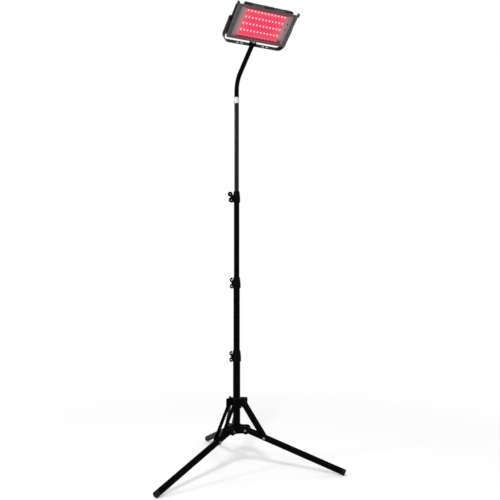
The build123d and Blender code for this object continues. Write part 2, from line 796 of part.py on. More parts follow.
front = front_ahead
back = front_ahead - head_depth
shell_width = head_width - 2 * bezel_wall
shell_height = head_height - 2 * bezel_wall
yoke_inner = head_width / 2 + yoke_side_gap
yoke_outer = yoke_inner + yoke_thickness

# ======== Yoke ========
with BuildPart() as yoke:
    with BuildSketch(head_plane.offset(-yoke_strip_width / 2)):
        with BuildLine():
            FilletPolyline(
                (-yoke_outer, yoke_arm_above),
                (-yoke_outer, -yoke_rise),
                (yoke_outer, -yoke_rise),
                (yoke_outer, yoke_arm_above),
                radius=yoke_corner_r,
            )
            Line((yoke_outer, yoke_arm_above), (yoke_inner, yoke_arm_above))
            FilletPolyline(
                (yoke_inner, yoke_arm_above),
                (yoke_inner, -yoke_rise + yoke_thickness),
                (-yoke_inner, -yoke_rise + yoke_thickness),
                (-yoke_inner, yoke_arm_above),
                radius=yoke_corner_r - yoke_thickness,
            )
            Line((-yoke_inner, yoke_arm_above), (-yoke_outer, yoke_arm_above))
        make_face()
    extrude(amount=yoke_strip_width)
    arm_ends = yoke.edges().filter_by(Axis(tilt_centre, head_plane.x_dir)).sort_by(Axis(tilt_centre, up_head))[-4:]
    fillet(arm_ends, 0.45 * yoke_strip_width)
    with BuildSketch(head_side(-yoke_outer)):
        Circle(tilt_screw_r + running_gap)
    extrude(amount=2 * yoke_outer, mode=Mode.SUBTRACT)
    with BuildSketch(head_floor(-yoke_rise)):
        Circle(swivel_bolt_r + running_gap)
        with Locations((-yoke_slot_outer, 0), (-yoke_slot_inner, 0), (yoke_slot_inner, 0), (yoke_slot_outer, 0)):
            SlotOverall(yoke_slot_length, yoke_slot_width)
    extrude(amount=yoke_thickness, mode=Mode.SUBTRACT)
keep(yoke.part, "yoke")

# ======== Tilt screws ========
with BuildPart() as tilt_screws:
    for side in (1, -1):
        spacer_start = shell_width / 2 if side > 0 else -yoke_inner + face_gap
        shank_start = shell_width / 2 - housing_wall - 3 if side > 0 else -yoke_outer - face_gap
        head_start = yoke_outer + face_gap if side > 0 else -yoke_outer - face_gap - tilt_head_height
        with BuildSketch(head_side(shank_start)):
            Circle(tilt_screw_r)
        extrude(amount=yoke_outer + face_gap - shell_width / 2 + housing_wall + 3)
        with BuildSketch(head_side(spacer_start)):
            Circle(tilt_head_r - 1)
        extrude(amount=yoke_inner - face_gap - shell_width / 2)
        with BuildSketch(head_side(head_start)):
            Circle(tilt_head_r)
        extrude(amount=tilt_head_height)
keep(tilt_screws.part, "tilt_screws")

# ======== Bezel ========
opening_width = head_width - 2 * bezel_lip_side
opening_height = head_height - 2 * bezel_lip_top
with BuildPart() as bezel:
    with BuildSketch(head_plane.offset(front - bezel_skirt)):
        RectangleRounded(head_width, head_height, 3)
    extrude(amount=bezel_skirt)
    with BuildSketch(head_plane.offset(front - bezel_ear_depth)):
        for side in (1, -1):
            ear_x = side * (head_width / 2 + bezel_ear_out - bezel_ear_width / 2)
            with Locations((ear_x, head_height / 2 - 3 + bezel_ear_height / 2)):
                RectangleRounded(bezel_ear_width, bezel_ear_height + 6, 2)
    extrude(amount=bezel_ear_depth - bezel_ear_back)
    with BuildSketch(head_plane.offset(front - bezel_skirt)):
        Rectangle(shell_width, shell_height)
    extrude(amount=bezel_skirt - bezel_thickness, mode=Mode.SUBTRACT)
    with BuildSketch(head_plane.offset(front - bezel_thickness)):
        Rectangle(opening_width, opening_height)
    extrude(amount=bezel_thickness, mode=Mode.SUBTRACT)
keep(bezel.part, "bezel")

# ======== Housing ========
board_face = front - board_depth
shell_front = front - bezel_thickness
standoff_x = board_width / 2 - standoff_inset
standoff_y = board_height / 2 - standoff_inset
taper_start = front - housing_fall_start
housing_drop = housing_fall * (taper_start - back)
crown_start = front - bezel_skirt
crown_end = crown_start - crown_depth
crown_root = housing_fall * (taper_start - crown_end) + housing_wall / 2


def shell_side(inset, rear):
    """Outline of the housing seen from its side, drawn in by a wall."""
    high = shell_height / 2 - inset
    Polyline(
        (-shell_front, -high),
        (-shell_front, high),
        (-taper_start, high),
        (-rear, high - housing_drop + housing_fall * (rear - back)),
        (-rear, -high + housing_drop - housing_fall * (rear - back)),
        (-taper_start, -high),
        close=True,
    )


with BuildPart() as housing:
    with BuildSketch(head_side(-shell_width / 2)):
        with BuildLine():
            shell_side(0, back)
        make_face()
    extrude(amount=shell_width)
    chamfer(housing.edges().group_by(Axis(tilt_centre, head_plane.z_dir))[0], 2.0)
    with BuildSketch(head_floor(shell_height / 2 - crown_root)):
        with BuildLine():
            Polyline(
                (-crown_front_width / 2, -crown_start),
                (crown_front_width / 2, -crown_start),
                (crown_back_width / 2, -crown_end),
                (-crown_back_width / 2, -crown_end),
                close=True,
            )
        make_face()
    extrude(amount=crown_root + crown_rise)
    with BuildSketch(head_side(-shell_width / 2 + housing_wall)):
        with BuildLine():
            shell_side(housing_wall, back + housing_wall)
        make_face()
    extrude(amount=shell_width - 2 * housing_wall, mode=Mode.SUBTRACT)
    with BuildSketch(head_plane.offset(back + housing_wall)):
        with Locations((0, -board_drop)):
            with GridLocations(2 * standoff_x, 2 * standoff_y, 2, 2):
                Circle(standoff_r)
    extrude(amount=board_face - board_thickness - back - housing_wall)
    with BuildSketch(head_side(-shell_width / 2)):
        Circle(tilt_screw_r)
        with Locations((0, side_vent_pitch * (side_vent_count + 1) / 2 + 6)):
            with GridLocations(1, side_vent_pitch, 1, side_vent_count):
                SlotOverall(side_vent_length, side_vent_width)
    extrude(amount=shell_width, mode=Mode.SUBTRACT)
    with BuildSketch(head_plane.offset(back)):
        for side in (1, -1):
            with Locations((side * (driver_width + shell_width) / 4, 0)):
                with GridLocations(back_vent_pitch, 1, back_vent_count, 1):
                    SlotOverall(back_vent_length, back_vent_width, rotation=90)
    extrude(amount=housing_wall, mode=Mode.SUBTRACT)
    with BuildSketch(head_floor(shell_height / 2 - crown_root - 2 * housing_wall)):
        with Locations((0, -(crown_start + crown_end) / 2)):
            with GridLocations(crown_slot_spread, crown_slot_pitch, 2, crown_slot_rows):
                SlotOverall(crown_slot_length, crown_slot_width)
    extrude(amount=crown_root + 2 * housing_wall + crown_rise, mode=Mode.SUBTRACT)
keep(housing.part, "housing")

# ======== Reflector: flared sheet from the board's edge to the bezel ========
mouth = shell_front - reflector_sheet
with BuildPart() as reflector:
    with BuildSketch(head_plane.offset(board_face)):
        with Locations((0, -board_drop)):
            Rectangle(board_width + 2 * reflector_sheet, board_height + 2 * reflector_sheet)
    with BuildSketch(head_plane.offset(shell_front)):
        Rectangle(opening_width + 2 * reflector_sheet, opening_height + 2 * reflector_sheet)
    loft()
    with BuildSketch(head_plane.offset(mouth)):
        Rectangle(shell_width - 2 * housing_wall, shell_height - 2 * housing_wall)
    extrude(amount=reflector_sheet)
    with BuildSketch(head_plane.offset(board_face)):
        with Locations((0, -board_drop)):
            Rectangle(board_width, board_height)
    with BuildSketch(head_plane.offset(shell_front)):
        Rectangle(opening_width, opening_height)
    loft(mode=Mode.SUBTRACT)
keep(reflector.part, "reflector")

# ======== LED board and its lamps ========
with BuildPart() as led_board:
    with BuildSketch(head_plane.offset(board_face - board_thickness)):
        with Locations((0, -board_drop)):
            Rectangle(board_width + 2 * reflector_sheet, board_height + 2 * reflector_sheet)
    extrude(amount=board_thickness)
keep(led_board.part, "led_board")

with BuildPart() as red_leds:
    with BuildSketch(head_plane.offset(board_face)):
        with Locations((0, -board_drop)):
            with GridLocations(led_pitch_x, led_pitch_y, led_columns, led_rows):
                Rectangle(led_base, led_base)
    extrude(amount=led_height, taper=12)
keep(red_leds.part, "red_leds")

with BuildPart() as infrared_leds:
    with BuildSketch(head_plane.offset(board_face)):
        with Locations((0, -board_drop)):
            with GridLocations(led_pitch_x, led_pitch_y, led_columns, led_rows - 1):
                Rectangle(led_base, led_base)
    extrude(amount=infrared_height, taper=12)
keep(infrared_leds.part, "infrared_leds")

# ======== Driver box on the back, with its inlet and switch ========
driver_floor = -driver_height / 2
driver_middle = back - driver_depth / 2
rocker_axis_y = driver_floor + rocker_sink
with BuildPart() as driver_box:
    with BuildSketch(head_plane.offset(back - driver_depth)):
        RectangleRounded(driver_width, driver_height, driver_corner_r)
    extrude(amount=driver_depth)
    chamfer(driver_box.edges().group_by(Axis(tilt_centre, head_plane.z_dir))[0], 2.0)
    with BuildSketch(head_floor(driver_floor)):
        with Locations((gland_side, -driver_middle)):
            Circle(gland_thread_r)
    extrude(amount=gland_thread_length, mode=Mode.SUBTRACT)
    with BuildSketch(head_floor(driver_floor)):
        with Locations((rocker_side, -driver_middle)):
            Rectangle(2 * (rocker_r + face_gap), rocker_width + 2 * face_gap)
    extrude(amount=rocker_sink + rocker_r + face_gap, mode=Mode.SUBTRACT)
keep(driver_box.part, "driver_box")

gland_length = gland_nut_height + gland_cap_height
with BuildPart() as cable_gland:
    with BuildSketch(head_floor(driver_floor)):
        with Locations((gland_side, -driver_middle)):
            Circle(gland_thread_r)
    extrude(amount=gland_thread_length)
    with BuildSketch(head_floor(driver_floor - gland_nut_height)):
        with Locations((gland_side, -driver_middle)):
            RegularPolygon(gland_nut_r, 6)
    extrude(amount=gland_nut_height)
    with BuildSketch(head_floor(driver_floor - gland_length)):
        with Locations((gland_side, -driver_middle)):
            Circle(gland_thread_r + 0.6)
    extrude(amount=gland_cap_height)
    chamfer(cable_gland.edges().group_by(Axis(tilt_centre, up_head))[0], 1.5)
    with BuildSketch(head_floor(driver_floor - gland_length)):
        with Locations((gland_side, -driver_middle)):
            Circle(gland_bore_r)
    extrude(amount=gland_length + gland_thread_length - 3, mode=Mode.SUBTRACT)
keep(cable_gland.part, "cable_gland")

rocker_origin = head_plane.from_local_coords(Vector(rocker_side, rocker_axis_y, driver_middle))
rocker_cut = [
    (-rocker_r - 2, -rocker_r - 2),
    (-rocker_r - 2, -rocker_sink - 0.2 - (rocker_r + 2) * tan(radians(rocker_lean))),
    (0, -rocker_sink - 0.2),
    (rocker_r + 2, -rocker_sink - 0.2 - (rocker_r + 2) * tan(radians(rocker_lean))),
    (rocker_r + 2, -rocker_r - 2),
]
rocker_plane = Plane(origin=rocker_origin, x_dir=head_plane.x_dir, z_dir=head_plane.z_dir)
with BuildPart() as rocker_switch:
    with BuildSketch(rocker_plane.offset(-rocker_width / 2)):
        Circle(rocker_r)
        with BuildLine():
            Polyline(*[Vector(x, y, 0).rotate(Axis.Z, rocker_lean) for x, y in rocker_cut], close=True)
        make_face(mode=Mode.SUBTRACT)
    extrude(amount=rocker_width)
keep(rocker_switch.part, "rocker_switch")
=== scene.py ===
"""Looks of the infrared heat therapy lamp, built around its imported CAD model.

Lengths are metres in the model's own frame. The lamp head has its own directions:
head_x along the tilt axis, head_y up the head and head_z out of the lamp.
"""

import json
from math import acos, ceil, cos, pi, radians, sin, tan

import bmesh
import bpy
from mathutils import Matrix, Vector


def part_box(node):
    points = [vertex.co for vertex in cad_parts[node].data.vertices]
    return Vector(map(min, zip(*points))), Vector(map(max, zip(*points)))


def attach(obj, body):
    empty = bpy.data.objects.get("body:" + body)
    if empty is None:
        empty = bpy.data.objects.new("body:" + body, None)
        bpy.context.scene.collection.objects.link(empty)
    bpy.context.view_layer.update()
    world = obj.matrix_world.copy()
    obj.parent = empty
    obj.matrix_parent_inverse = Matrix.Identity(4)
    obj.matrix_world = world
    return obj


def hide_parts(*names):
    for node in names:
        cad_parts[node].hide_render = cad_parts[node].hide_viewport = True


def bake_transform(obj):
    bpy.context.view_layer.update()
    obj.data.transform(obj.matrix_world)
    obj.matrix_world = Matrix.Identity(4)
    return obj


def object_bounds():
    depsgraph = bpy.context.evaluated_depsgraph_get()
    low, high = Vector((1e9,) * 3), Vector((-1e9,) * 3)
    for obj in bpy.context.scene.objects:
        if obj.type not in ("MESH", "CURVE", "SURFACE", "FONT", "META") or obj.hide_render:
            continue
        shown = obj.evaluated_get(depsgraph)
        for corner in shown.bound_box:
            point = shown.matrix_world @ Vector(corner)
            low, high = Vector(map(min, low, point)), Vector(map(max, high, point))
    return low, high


MM = 0.001
UP = Vector((0, 0, 1))

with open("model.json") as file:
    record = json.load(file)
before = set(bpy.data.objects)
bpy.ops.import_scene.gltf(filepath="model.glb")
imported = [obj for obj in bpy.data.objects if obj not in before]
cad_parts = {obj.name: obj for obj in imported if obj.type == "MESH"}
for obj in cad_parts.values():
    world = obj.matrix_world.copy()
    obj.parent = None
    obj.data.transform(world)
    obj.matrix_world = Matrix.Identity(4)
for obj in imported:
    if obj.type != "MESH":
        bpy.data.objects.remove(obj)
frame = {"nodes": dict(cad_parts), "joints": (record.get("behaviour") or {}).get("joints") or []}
cad_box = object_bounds()
nodes = frame["nodes"]
joints = {joint["name"]: joint for joint in frame["joints"]}
scene = bpy.context.scene
scene.view_settings.view_transform = "Standard"

# ---- Places read from the frame ----
tube_low, tube_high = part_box("bottom_tube")
column = (tube_low + tube_high) / 2
column.z = 0
tilt_centre = Vector(joints["head_tilt"]["pos_m"])
head_x = Vector(joints["head_tilt"]["axis"]).normalized()
head_y = Vector(joints["yoke_turn"]["axis"]).normalized()
head_z = head_x.cross(head_y)


def head_point(x, y, z):
    """Point in the lamp head, from its distances from the tilt axis's middle."""
    return tilt_centre + head_x * x + head_y * y + head_z * z


def head_span(node, axis):
    """Lowest and highest place of a node along one of the head's directions."""
    places = [(vertex.co - tilt_centre).dot(axis) for vertex in nodes[node].data.vertices]
    return min(places), max(places)


# ---- Lamp head: edges of its nodes, and the lamps' grid on the board ----
led_columns = 12
led_rows = 5
led_base = 5.0 * MM  # side of a lamp's square foot
skirt_and_wall = 3.2 * MM  # from the reflector's edge to the bezel's
side_lip = 12.0 * MM  # bezel beside the opening
end_lip = 7.0 * MM  # bezel above and below the opening
board_right = head_span("led_board", head_x)[1]
board_bottom, board_top = head_span("led_board", head_y)
board_middle = (board_bottom + board_top) / 2
board_face = head_span("led_board", head_z)[1]
led_left, led_right = head_span("red_leds", head_x)
led_bottom, led_top = head_span("red_leds", head_y)
led_front = head_span("red_leds", head_z)[1]
infrared_front = head_span("infrared_leds", head_z)[1]
led_pitch_x = (led_right - led_left - led_base) / (led_columns - 1)
led_pitch_y = (led_top - led_bottom - led_base) / (led_rows - 1)
first_column = led_left + led_base / 2
first_row = led_bottom + led_base / 2
bezel_side = head_span("reflector", head_x)[1] + skirt_and_wall
bezel_top = head_span("reflector", head_y)[1] + skirt_and_wall
bezel_front = head_span("bezel", head_z)[1]
opening_side = bezel_side - side_lip
opening_top = bezel_top - end_lip
block_top = head_span("housing", head_y)[1]  # of the housing's vented block
housing_back = head_span("housing", head_z)[0]


# ---- Node helpers ----
class Shader:
    """A material's nodes, with short calls to add and join them."""

    def __init__(self, name):
        self.material = bpy.data.materials.new(name)
        self.material.use_nodes = True
        self.tree = self.material.node_tree
        self.tree.nodes.clear()
        self.output = self.tree.nodes.new("ShaderNodeOutputMaterial")
        self.position = self.add("ShaderNodeTexCoord").outputs["Object"]

    def add(self, kind, settings=None, **inputs):
        node = self.tree.nodes.new(kind)
        for key, value in (settings or {}).items():
            setattr(node, key, value)
        for key, value in inputs.items():
            self.feed(node.inputs[key.replace("_", " ")], value)
        return node

    def feed(self, socket, value):
        """Link another node's output to a socket, or set the socket. A colour is three numbers."""
        if isinstance(value, bpy.types.NodeSocket):
            self.tree.links.new(value, socket)
        elif socket.type == "RGBA":
            socket.default_value = (*value, 1.0)
        else:
            socket.default_value = value

    def math(self, operation, *values):
        node = self.add("ShaderNodeMath", {"operation": operation})
        for socket, value in zip(node.inputs, values):
            self.feed(socket, value)
        return node.outputs["Value"]

    def vector(self, operation, *values):
        node = self.add("ShaderNodeVectorMath", {"operation": operation})
        for socket, value in zip(node.inputs, values):
            self.feed(socket, value)
        return node.outputs["Value" if operation in ("DOT_PRODUCT", "LENGTH") else "Vector"]

    def ramp(self, value, low, high, start=0.0, end=1.0):
        """Smooth step from start, where the value is low, to end, where it is high."""
        node = self.add("ShaderNodeMapRange", {"interpolation_type": "SMOOTHSTEP"})
        for socket, number in zip(node.inputs, (value, low, high, start, end)):
            self.feed(socket, number)
        return node.outputs["Result"]

    def mix(self, factor, first, second):
        """Colour between two colours, through the node's sockets for colours."""
        node = self.add("ShaderNodeMix", {"data_type": "RGBA"})
        for index, value in ((0, factor), (6, first), (7, second)):
            self.feed(node.inputs[index], value)
        return node.outputs[2]

    def noise(self, scale, detail=2.0, packing=None):
        where = self.position
        if packing:
            where = self.vector("MULTIPLY", where, packing)
        node = self.add("ShaderNodeTexNoise", None, Vector=where, Scale=scale, Detail=detail)
        return node.outputs["Fac"]

    def bump(self, height, strength, distance):
        node = self.add("ShaderNodeBump", None, Strength=strength, Distance=distance, Height=height)
        return node.outputs["Normal"]

    def head_place(self):
        """Place in the lamp head, as three numbers along head_x, head_y and head_z."""
        place = self.vector("SUBTRACT", self.position, tilt_centre)
        return [self.vector("DOT_PRODUCT", place, axis) for axis in (head_x, head_y, head_z)]

    def surface(self, shader):
        self.tree.links.new(shader, self.output.inputs["Surface"])

    def principled(self, settings=None, **inputs):
        """Principled surface. The settings are sockets that are the same all over."""
        node = self.add("ShaderNodeBsdfPrincipled", None, **inputs)
        for socket, value in (settings or {}).items():
            node.inputs[socket].default_value = value
        self.surface(node.outputs["BSDF"])


def shade(colour, factor):
    return [channel * factor for channel in colour]


def painted(name, colour, roughness, grain=1400.0, grain_depth=0.02 * MM, scratch=None, specular=0.12):
    """Powder coat or moulded plastic: fine grain, and slow patches of tone and gloss.

    scratch adds fine scratches, and is how tightly their noise is packed along x, y and z.
    """
    patch_tone = 0.35
    scratch_tone = 2.6
    scratch_share = 0.35
    scratch_gloss = 0.12
    shader = Shader(name)
    patches = shader.noise(22.0, 3.0)
    height = shader.noise(grain)
    tone = shader.mix(patches, shade(colour, 1 - patch_tone), shade(colour, 1 + patch_tone))
    gloss = shader.ramp(patches, 0.3, 0.7, roughness - 0.05, roughness + 0.07)
    if scratch:
        lines = shader.ramp(shader.noise(1.0, 3.0, scratch), 0.62, 0.72)
        tone = shader.mix(shader.math("MULTIPLY", lines, scratch_share), tone, shade(colour, scratch_tone))
        gloss = shader.math("ADD", gloss, shader.math("MULTIPLY", lines, scratch_gloss))
        height = shader.math("SUBTRACT", height, lines)
    normal = shader.bump(height, 0.35, grain_depth)
    shader.principled({"Specular IOR Level": specular}, Base_Color=tone, Roughness=gloss, Normal=normal)
    return shader.material


def metal(name, colour, roughness, packing, metallic=1.0):
    """Bare or plated metal with slight tarnish. packing is its grain's, along x, y and z."""
    shader = Shader(name)
    lines = shader.noise(1.0, 2.0, packing)
    patches = shader.noise(90.0, 3.0)
    tone = shader.mix(patches, shade(colour, 0.82), shade(colour, 1.08))
    gloss = shader.ramp(lines, 0.3, 0.7, roughness - 0.08, roughness + 0.1)
    normal = shader.bump(lines, 0.25, 0.01 * MM)
    shader.principled({"Metallic": metallic}, Base_Color=tone, Roughness=gloss, Normal=normal)
    return shader.material


# ---- Plain finishes ----
tube_colour = (0.0008, 0.0008, 0.0009)
top_tube_colour = (0.001, 0.001, 0.0011)
moulded_colour = (0.0013, 0.0013, 0.0014)
along_tube = (700.0, 700.0, 9.0)
even_grain = (500.0, 500.0, 500.0)
turned_grain = (60.0, 60.0, 2600.0)
coarse_depth = 0.04 * MM
polish_depth = 0.003 * MM

tube_black = painted("tube_black", tube_colour, 0.26, scratch=along_tube, specular=0.025)
top_tube_black = painted("top_tube_black", top_tube_colour, 0.25, 1400.0, polish_depth, specular=0.18)
leg_black = painted("leg_black", tube_colour, 0.36, specular=0.02)
clamp_black = painted("clamp_black", moulded_colour, 0.48, 2200.0, coarse_depth, specular=0.03)
neck_black = painted("neck_black", moulded_colour, 0.45, 1800.0, specular=0.025)
head_black = painted("head_black", (0.008, 0.0078, 0.008), 0.42, 1900.0, 0.05 * MM, specular=0.05)
# painted light: fins lighter grey than the black housing, standing in for light lines across the vents
fin_painted_light = painted("fin_painted_light", (0.13, 0.115, 0.12), 0.42, 1900.0, coarse_depth, specular=0.1)
yoke_black = painted("yoke_black", (0.009, 0.0082, 0.0086), 0.4, 1900.0, coarse_depth, specular=0.06)
guide_plastic = painted("guide_plastic", (0.1, 0.1, 0.1), 0.5)
foot_rubber = painted("foot_rubber", (0.004, 0.004, 0.004), 0.72, 900.0, 0.06 * MM)
zinc_steel = metal("zinc_steel", (0.42, 0.43, 0.45), 0.34, even_grain)
bright_steel = metal("bright_steel", (0.8, 0.79, 0.79), 0.3, even_grain, metallic=0.3)
bolt_steel = metal("bolt_steel", (0.2, 0.2, 0.21), 0.36, even_grain)
ferrule_silver = metal("ferrule_silver", (0.5, 0.495, 0.505), 0.36, turned_grain)

# ---- Board with its lamps' glow painted on, and lamps ----
# painted shade: deep crimson for the board's foot, the lowest lamps and the reflector's lower wall
painted_shade_crimson = (0.18, 0.001, 0.018)
under_glare = (0.02, 0.0, 0.0)


def painted_foot_shade(shader, along, start, end):
    """Share of painted shade at the foot of the board, full at the start and none at the end."""
    return shader.ramp(along, board_bottom + start, board_bottom + end, 0.92, 0.0)


def board_material():
    """Board with its lamps' light painted on as a red glow, brighter round each red lamp and darker round
    each infrared one. Its back is unlit.
    """
    # colours of the glow painted on the board, which is no lamp itself
    middle_glow = (0.86, 0.06, 0.145)
    rim_glow = (0.82, 0.13, 0.18)
    mottled_glow = (0.6, 0.035, 0.09)
    infrared_glow = (0.5, 0.015, 0.06)
    side_glow = (0.5, 0.17, 0.19)
    lamp_glow = (0.95, 0.36, 0.4)
    unlit_green = (0.01, 0.022, 0.012)
    shader = Shader("board_red")
    across, along, depth = shader.head_place()

    def off_grid(value, first, pitch):
        steps = shader.math("DIVIDE", shader.math("SUBTRACT", value, first), pitch)
        return shader.math("MULTIPLY", shader.math("SUBTRACT", steps, shader.math("ROUND", steps)), pitch)

    def distance(shift):
        """Distance from the nearest lamp of a grid that starts higher by the shift."""
        side = off_grid(across, first_column, led_pitch_x)
        rise = off_grid(along, first_row + shift, led_pitch_y)
        squares = shader.math("ADD", shader.math("POWER", side, 2.0), shader.math("POWER", rise, 2.0))
        return shader.math("SQRT", squares)

    glow = shader.ramp(distance(0.0), 2.4 * MM, 5.0 * MM, 0.3, 0.0)
    dark = shader.ramp(distance(led_pitch_y / 2), 2.6 * MM, 4.6 * MM, 0.25, 0.0)
    side_share = shader.math("DIVIDE", shader.math("ABSOLUTE", across), board_right)
    above_middle = shader.math("SUBTRACT", along, board_middle)
    rise_share = shader.math("DIVIDE", shader.math("ABSOLUTE", above_middle), board_top - board_middle)
    rim = shader.ramp(shader.math("MAXIMUM", side_share, rise_share), 0.45, 1.0)
    side_rim = shader.ramp(side_share, 0.86, 1.0, 0.0, 0.85)
    mottle = shader.math("MULTIPLY", shader.noise(120.0, 3.0), 0.35)
    # painted shade over the board's foot
    foot = painted_foot_shade(shader, along, 4.4 * MM, 7.2 * MM)
    face = shader.ramp(depth, board_face - 0.3 * MM, board_face - 0.1 * MM)
    glare = shader.mix(rim, middle_glow, rim_glow)
    glare = shader.mix(mottle, glare, mottled_glow)
    glare = shader.mix(dark, glare, infrared_glow)
    glare = shader.mix(side_rim, glare, side_glow)
    glare = shader.mix(glow, glare, lamp_glow)
    glare = shader.mix(foot, glare, painted_shade_crimson)
    glare = shader.mix(face, (0.0, 0.0, 0.0), glare)
    # the base colour takes a share of the painted glow as well
    body = shader.mix(face, unlit_green, shader.mix(0.85, glare, under_glare))
    shader.principled(
        {"Roughness": 0.5, "Specular IOR Level": 0.2, "Emission Strength": 0.95},
        Base_Color=body,
        Emission_Color=glare,
    )
    return shader.material


def lens_material(name, crown_colour, foot_colour, strength, front):
    """Lit lens, its crown of another tone than its square foot, with painted shade on the lowest row."""
    shader = Shader(name)
    _, along, depth = shader.head_place()
    crown = shader.ramp(depth, board_face + 1.1 * MM, board_face + 0.5 * (front - board_face))
    speckle = shader.math("MULTIPLY", shader.noise(900.0, 1.0), 0.12)
    tone = shader.mix(crown, foot_colour, crown_colour)
    tone = shader.mix(speckle, tone, foot_colour)
    # painted shade on the lowest row of lamps
    tone = shader.mix(painted_foot_shade(shader, along, 4.8 * MM, 7.4 * MM), tone, painted_shade_crimson)
    shader.principled(
        {"Roughness": 0.2, "Specular IOR Level": 0.3, "Emission Strength": strength},
        Base_Color=shader.mix(0.7, tone, under_glare),
        Emission_Color=tone,
    )
    return shader.material


board_red = board_material()
led_lens = lens_material("led_lens", (1.0, 0.66, 0.66), (0.9, 0.2, 0.26), 1.0, led_front)
led_infrared = lens_material("led_infrared", (0.56, 0.022, 0.07), (0.7, 0.04, 0.1), 0.9, infrared_front)


# ---- Reflector, bezel and housing ----
def reflector_material():
    """Satin sheet with the board's red light and painted shade on it near the board, and painted shade in
    its lower right corner.
    """
    dark_plate = (0.2, 0.15, 0.172)
    light_plate = (0.3, 0.235, 0.26)
    beside_red_light = (0.58, 0.255, 0.275)
    lower_red_light = (0.42, 0.125, 0.175)
    upper_shaded_red = (0.27, 0.022, 0.04)
    corner_painted_shade = (0.17, 0.035, 0.055)
    shader = Shader("reflector_grey")
    sideways, along, depth = shader.head_place()
    across = shader.math("ABSOLUTE", sideways)

    # painted red light beside the board, and painted shade with red light below and above it
    beside = shader.ramp(across, board_right, board_right + 21.0 * MM, 1.0, 0.0)
    inside = shader.ramp(across, board_right - 1.0 * MM, board_right + 10.0 * MM, 1.0, 0.0)
    past_foot = shader.ramp(along, board_bottom + 0.9 * MM, board_bottom + 1.3 * MM, 1.0, 0.0)
    past_top = shader.ramp(along, board_top - 0.2 * MM, board_top + 0.6 * MM)
    below = shader.math("MULTIPLY", inside, past_foot)
    above = shader.math("MULTIPLY", inside, past_top)
    # painted shade in the lower right corner, on the right side only
    corner_side = shader.ramp(sideways, board_right + 10.0 * MM, board_right + 19.0 * MM, 0.9, 0.0)
    corner_start = shader.ramp(sideways, board_right - 2.0 * MM, board_right + 3.0 * MM)
    corner_rise = shader.ramp(along, board_bottom + 9.0 * MM, board_bottom + 18.0 * MM, 1.0, 0.0)
    corner = shader.math("MULTIPLY", shader.math("MULTIPLY", corner_side, corner_rise), corner_start)

    lines = shader.noise(1.0, 2.0, (300.0, 300.0, 60.0))
    plate = shader.mix(shader.noise(60.0, 3.0), dark_plate, light_plate)
    from_foot = shader.ramp(depth, board_face + 1.6 * MM, board_face + 3.8 * MM)
    tone = shader.mix(beside, plate, beside_red_light)
    tone = shader.mix(below, tone, shader.mix(from_foot, painted_shade_crimson, lower_red_light))
    tone = shader.mix(above, tone, upper_shaded_red)
    tone = shader.mix(corner, tone, corner_painted_shade)
    shader.principled(
        {"Metallic": 0.4},
        Base_Color=tone,
        Roughness=shader.ramp(lines, 0.3, 0.7, 0.36, 0.5),
        Normal=shader.bump(lines, 0.25, 0.01 * MM),
    )
    return shader.material


def bezel_material():
    """Satin dark grey, with painted shade at the plates' edge and on its sides and ears, and painted red
    light on the end lips.
    """
    dark_grey = (0.075, 0.063, 0.07)
    light_grey = (0.15, 0.132, 0.143)
    streak_grey = (0.21, 0.188, 0.2)
    # painted red light from the board
    painted_red_mauve = (0.165, 0.08, 0.088)
    near_painted_red = (0.36, 0.095, 0.12)
    # painted shade at the plates' edge and on the sides and ears
    edge_shade_grey = (0.05, 0.036, 0.042)
    side_shade_black = (0.012, 0.011, 0.012)
    shader = Shader("bezel_grey")
    sideways, upward, depth = shader.head_place()
    across = shader.math("ABSOLUTE", sideways)
    along = shader.math("ABSOLUTE", upward)

    front = shader.ramp(depth, bezel_front - 0.9 * MM, bezel_front - 0.4 * MM)
    inside = shader.ramp(across, board_right - 6.0 * MM, board_right + 14.0 * MM, 1.0, 0.0)
    at_opening = shader.ramp(along, opening_top + 0.6 * MM, opening_top + 2.6 * MM, 1.0, 0.0)
    cast = shader.math("MULTIPLY", inside, front)
    near = shader.math("MULTIPLY", cast, at_opening)
    # painted shade along the opening's side edges
    edge_shade_end = shader.ramp(across, opening_side + 1.2 * MM, opening_side + 2.8 * MM, 0.5, 0.0)
    edge_shade_start = shader.ramp(across, opening_side - 1.5 * MM, opening_side - 0.5 * MM)
    edge_shade = shader.math("MULTIPLY", edge_shade_end, edge_shade_start)
    # painted shade on the sides and ears, past the front's edge
    side_shade = shader.ramp(across, bezel_side, bezel_side + 1.0 * MM, 0.0, 0.6)

    patches = shader.noise(55.0, 3.0)
    streaks = shader.ramp(shader.noise(1.0, 3.0, (420.0, 420.0, 110.0)), 0.45, 0.75, 0.0, 0.4)
    tone = shader.mix(patches, dark_grey, light_grey)
    tone = shader.mix(streaks, tone, streak_grey)
    tone = shader.mix(shader.math("MULTIPLY", cast, 0.8), tone, painted_red_mauve)
    tone = shader.mix(near, tone, near_painted_red)
    tone = shader.mix(edge_shade, tone, edge_shade_grey)
    tone = shader.mix(side_shade, tone, side_shade_black)
    shader.principled(
        {"Specular IOR Level": 0.12},
        Base_Color=tone,
        Roughness=shader.ramp(patches, 0.3, 0.7, 0.4, 0.5),
        Normal=shader.bump(shader.noise(1900.0), 0.35, 0.05 * MM),
    )
    return shader.material


